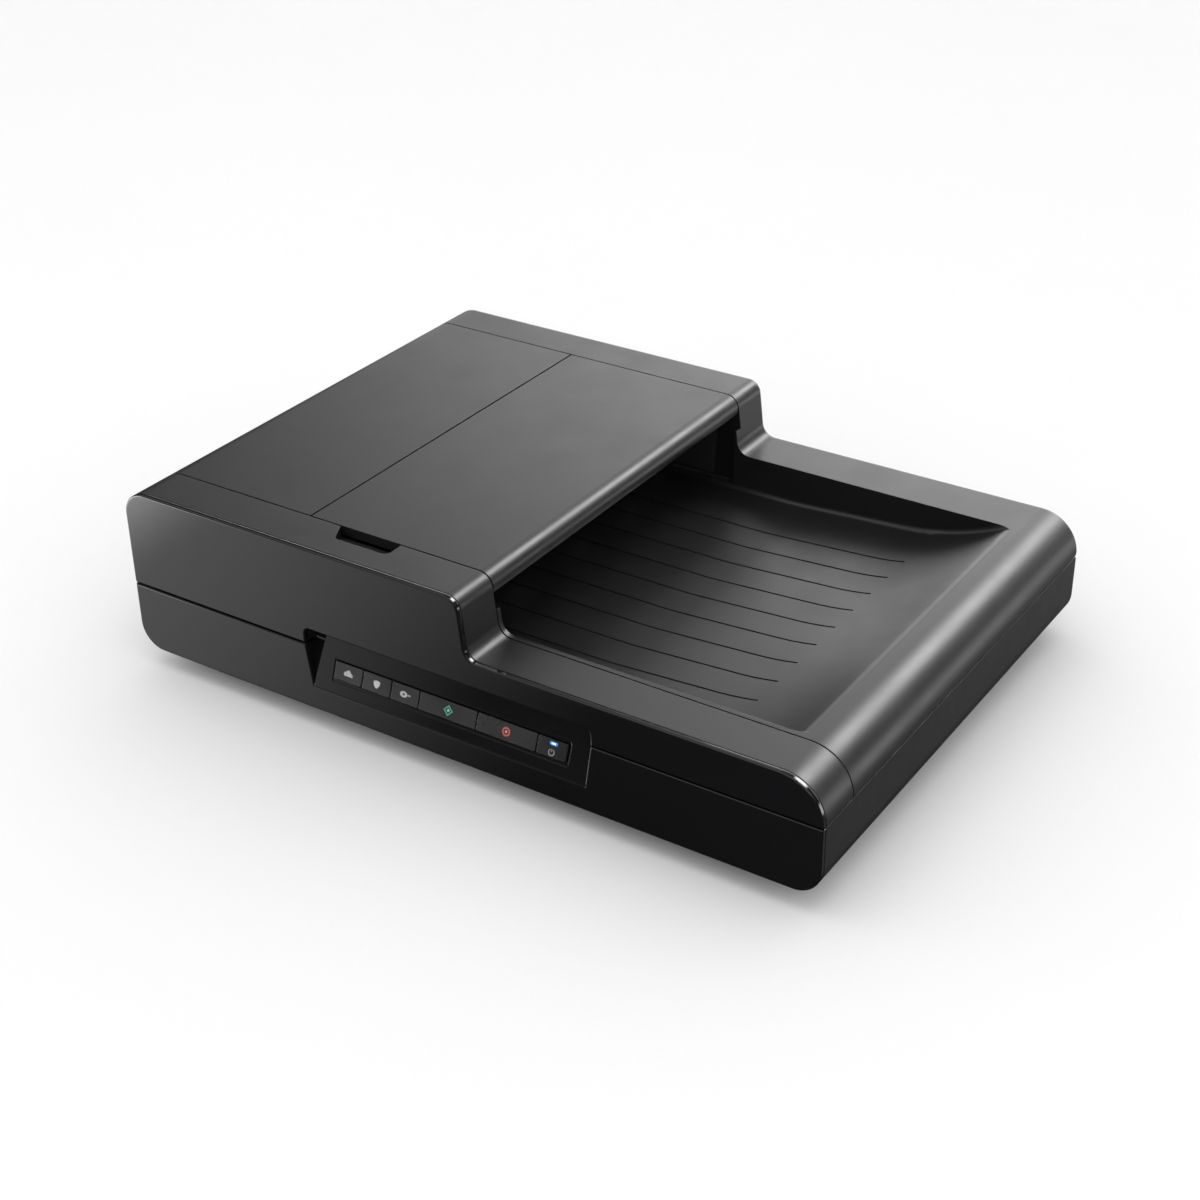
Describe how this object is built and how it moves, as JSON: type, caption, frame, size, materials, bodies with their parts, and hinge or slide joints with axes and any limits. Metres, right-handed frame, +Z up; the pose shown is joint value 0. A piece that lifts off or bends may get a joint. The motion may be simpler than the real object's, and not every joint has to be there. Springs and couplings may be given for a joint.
{
  "type": "sheet fed document scanner",
  "caption": "Flatbed desktop scanner whose hinged lid carries a sheet feeder with a fold-over feed tray and a sunken output tray; control panel in a recess at the front.",
  "frame": {"origin": "centre of the footprint on the table plane, under the feet", "axes": "+X to the right seen from the front, -Y towards the user, +Z up"},
  "size_m": [0.469, 0.335, 0.12],
  "materials": {
    "shell_plastic": "fine textured satin charcoal",
    "base_plastic": "textured black",
    "front_gloss": "polished black",
    "inner_plastic": "moulded black",
    "grey_plastic": "moulded grey",
    "gear_plastic": "natural acetal",
    "button_plastic": "satin black",
    "glass": "clear float glass",
    "white_pad": "white film on foam",
    "rubber": "matt black rubber",
    "roller_rubber": "ground grey rubber",
    "steel": "zinc plated",
    "board": "green circuit board"
  },
  "bodies": {
    "base": {"base_shell": "base_plastic", "base_front_panel": "front_gloss", "base_top_frame": "inner_plastic", "platen_glass": "glass", "rubber_feet": "rubber", "base_screws": "steel", "control_panel": "front_gloss", "control_board": "board", "main_board": "board", "rear_ports": "inner_plastic", "base_hinge_leaves": "steel", "hinge_pins": "steel", "carriage_rail": "steel", "carriage_motor": "steel", "carriage_belt": "rubber"},
    "carriage": {"carriage_frame": "inner_plastic", "carriage_bush": "gear_plastic", "image_sensor_bar": "grey_plastic"},
    "carriage_drive": {"carriage_drive_gear": "gear_plastic"},
    "carriage_idler": {"carriage_idler_pulley": "gear_plastic"},
    "carriage_pinion": {"carriage_motor_pinion": "gear_plastic"},
    "lid": {"lid_cover": "shell_plastic", "lid_front_trim": "shell_plastic", "lid_front_panel": "front_gloss", "lid_bottom_plate": "inner_plastic", "platen_pad": "white_pad", "lid_hinge_leaves": "steel", "adf_side_plate_front": "inner_plastic", "adf_side_plate_rear": "inner_plastic", "roller_bushes": "gear_plastic", "feed_deck": "inner_plastic", "lower_paper_guide": "inner_plastic", "turn_guide": "inner_plastic", "paper_path_sensors": "grey_plastic", "adf_motor": "steel", "adf_drive_belt": "rubber", "cover_hinge_pins": "steel"},
    "feeder_cover": {"adf_cover": "shell_plastic", "adf_cover_guide": "inner_plastic"},
    "feed_tray": {"feed_tray_panel": "shell_plastic", "feed_tray_liner": "inner_plastic"},
    "guide_front": {"document_guide_front": "inner_plastic"},
    "guide_rear": {"document_guide_rear": "inner_plastic"},
    "guide_gear": {"guide_pinion": "gear_plastic"},
    "tray_extension": {"feed_tray_extension": "inner_plastic"},
    "turn_shaft": {"turn_roller": "roller_rubber"},
    "feed_shaft": {"feed_roller": "roller_rubber"},
    "retard_shaft": {"retard_roller": "roller_rubber"},
    "exit_shaft": {"exit_roller": "roller_rubber"},
    "exit_idler_shaft": {"exit_idlers": "gear_plastic"},
    "feeder_pinion": {"adf_motor_pinion": "gear_plastic"},
    "feeder_idler": {"adf_idler_gear": "gear_plastic"},
    "pick_lever": {"pick_arm": "gear_plastic"},
    "pick_shaft": {"pick_roller": "roller_rubber"},
    "job_button_1": {"job_button_1": "button_plastic"},
    "job_button_2": {"job_button_2": "button_plastic"},
    "job_button_3": {"job_button_3": "button_plastic"},
    "start_button": {"start_button": "button_plastic"},
    "stop_button": {"stop_button": "button_plastic"},
    "power_button": {"power_button": "button_plastic"}
  },
  "joints": [
    {"name": "lid_hinge", "type": "hinge", "parent": "base", "child": "lid", "pos_m": [0, 0.163, 0.0565], "axis": [-1, 0, 0], "range_deg": [0, 75]},
    {"name": "feeder_cover_hinge", "type": "hinge", "parent": "lid", "child": "feeder_cover", "pos_m": [-0.231, 0, 0.1045], "axis": [0, -1, 0], "range_deg": [0, 80]},
    {"name": "feed_tray_flip", "type": "hinge", "parent": "lid", "child": "feed_tray", "pos_m": [0.002, 0, 0.1112], "axis": [0, 1, 0], "range_deg": [0, 150]},
    {"name": "guide_front_slide", "type": "slide", "parent": "feed_tray", "child": "guide_front", "axis": [0, 1, 0], "range_m": [0, 0.07]},
    {"name": "guide_rear_slide", "type": "slide", "parent": "feed_tray", "child": "guide_rear", "axis": [0, -1, 0], "range_m": [0, 0.07]},
    {"name": "guide_gear_spin", "type": "hinge", "parent": "feed_tray", "child": "guide_gear", "pos_m": [-0.06, 0, 0.117], "axis": [0, 0, -1], "range_deg": [-5, 510]},
    {"name": "tray_extension_slide", "type": "slide", "parent": "feed_tray", "child": "tray_extension", "axis": [-1, 0, 0], "range_m": [0, 0.055]},
    {"name": "carriage_slide", "type": "slide", "parent": "base", "child": "carriage", "axis": [1, 0, 0], "range_m": [0, 0.33]},
    {"name": "carriage_drive_spin", "type": "hinge", "parent": "base", "child": "carriage_drive", "pos_m": [-0.209, 0.07, 0.025], "axis": [0, 0, 1], "range_deg": [-5, 3160]},
    {"name": "carriage_idler_spin", "type": "hinge", "parent": "base", "child": "carriage_idler", "pos_m": [0.209, 0.07, 0.025], "axis": [0, 0, 1], "range_deg": [-5, 3160]},
    {"name": "carriage_motor_spin", "type": "hinge", "parent": "base", "child": "carriage_pinion", "pos_m": [-0.209, 0.0892, 0.025], "axis": [0, 0, -1], "range_deg": [-15, 9480]},
    {"name": "turn_roller_spin", "type": "hinge", "parent": "lid", "child": "turn_shaft", "pos_m": [-0.195, 0, 0.082], "axis": [0, -1, 0], "continuous": true},
    {"name": "feeder_motor_spin", "type": "hinge", "parent": "lid", "child": "feeder_pinion", "pos_m": [-0.17136, 0, 0.07783], "axis": [0, -1, 0], "continuous": true},
    {"name": "feeder_idler_spin", "type": "hinge", "parent": "lid", "child": "feeder_idler", "pos_m": [-0.15746, 0, 0.07944], "axis": [0, -1, 0], "continuous": true},
    {"name": "feed_roller_spin", "type": "hinge", "parent": "lid", "child": "feed_shaft", "pos_m": [-0.15, 0, 0.098], "axis": [0, -1, 0], "continuous": true},
    {"name": "retard_roller_spin", "type": "hinge", "parent": "lid", "child": "retard_shaft", "pos_m": [-0.147, 0, 0.0766], "axis": [0, -1, 0], "continuous": true},
    {"name": "exit_roller_spin", "type": "hinge", "parent": "lid", "child": "exit_shaft", "pos_m": [-0.05, 0, 0.07], "axis": [0, -1, 0], "continuous": true},
    {"name": "exit_idler_spin", "type": "hinge", "parent": "lid", "child": "exit_idler_shaft", "pos_m": [-0.05, 0, 0.082], "axis": [0, -1, 0], "continuous": true},
    {"name": "pick_arm_swing", "type": "hinge", "parent": "lid", "child": "pick_lever", "pos_m": [-0.15, 0, 0.098], "axis": [0, 1, 0], "range_deg": [-5, 2]},
    {"name": "pick_roller_spin", "type": "hinge", "parent": "pick_lever", "child": "pick_shaft", "pos_m": [-0.123, 0, 0.0985], "axis": [0, -1, 0], "continuous": true},
    {"name": "job_button_1_press", "type": "slide", "parent": "base", "child": "job_button_1", "axis": [0, 0.9394, -0.3429], "range_m": [0, 0.0008]},
    {"name": "job_button_2_press", "type": "slide", "parent": "base", "child": "job_button_2", "axis": [0, 0.9394, -0.3429], "range_m": [0, 0.0008]},
    {"name": "job_button_3_press", "type": "slide", "parent": "base", "child": "job_button_3", "axis": [0, 0.9394, -0.3429], "range_m": [0, 0.0008]},
    {"name": "start_button_press", "type": "slide", "parent": "base", "child": "start_button", "axis": [0, 0.9394, -0.3429], "range_m": [0, 0.0008]},
    {"name": "stop_button_press", "type": "slide", "parent": "base", "child": "stop_button", "axis": [0, 0.9394, -0.3429], "range_m": [0, 0.0008]},
    {"name": "power_button_press", "type": "slide", "parent": "base", "child": "power_button", "axis": [0, 0.9394, -0.3429], "range_m": [0, 0.0008]}
  ],
  "couplings": [
    {"joint": "guide_rear_slide", "follows": "guide_front_slide", "ratio": 1},
    {"joint": "guide_gear_spin", "follows": "guide_front_slide", "rad_per_m": 125},
    {"joint": "carriage_drive_spin", "follows": "carriage_slide", "rad_per_m": 166.67},
    {"joint": "carriage_idler_spin", "follows": "carriage_slide", "rad_per_m": 166.67},
    {"joint": "carriage_motor_spin", "follows": "carriage_slide", "rad_per_m": 500},
    {"joint": "feeder_motor_spin", "follows": "turn_roller_spin", "ratio": -3},
    {"joint": "feeder_idler_spin", "follows": "turn_roller_spin", "ratio": 2.25},
    {"joint": "feed_roller_spin", "follows": "turn_roller_spin", "ratio": -1.5},
    {"joint": "retard_roller_spin", "follows": "turn_roller_spin", "ratio": 1.65},
    {"joint": "exit_roller_spin", "follows": "turn_roller_spin", "ratio": 2.3333},
    {"joint": "exit_idler_spin", "follows": "turn_roller_spin", "ratio": -2.4561},
    {"joint": "pick_roller_spin", "follows": "turn_roller_spin", "ratio": -2.0625}
  ]
}
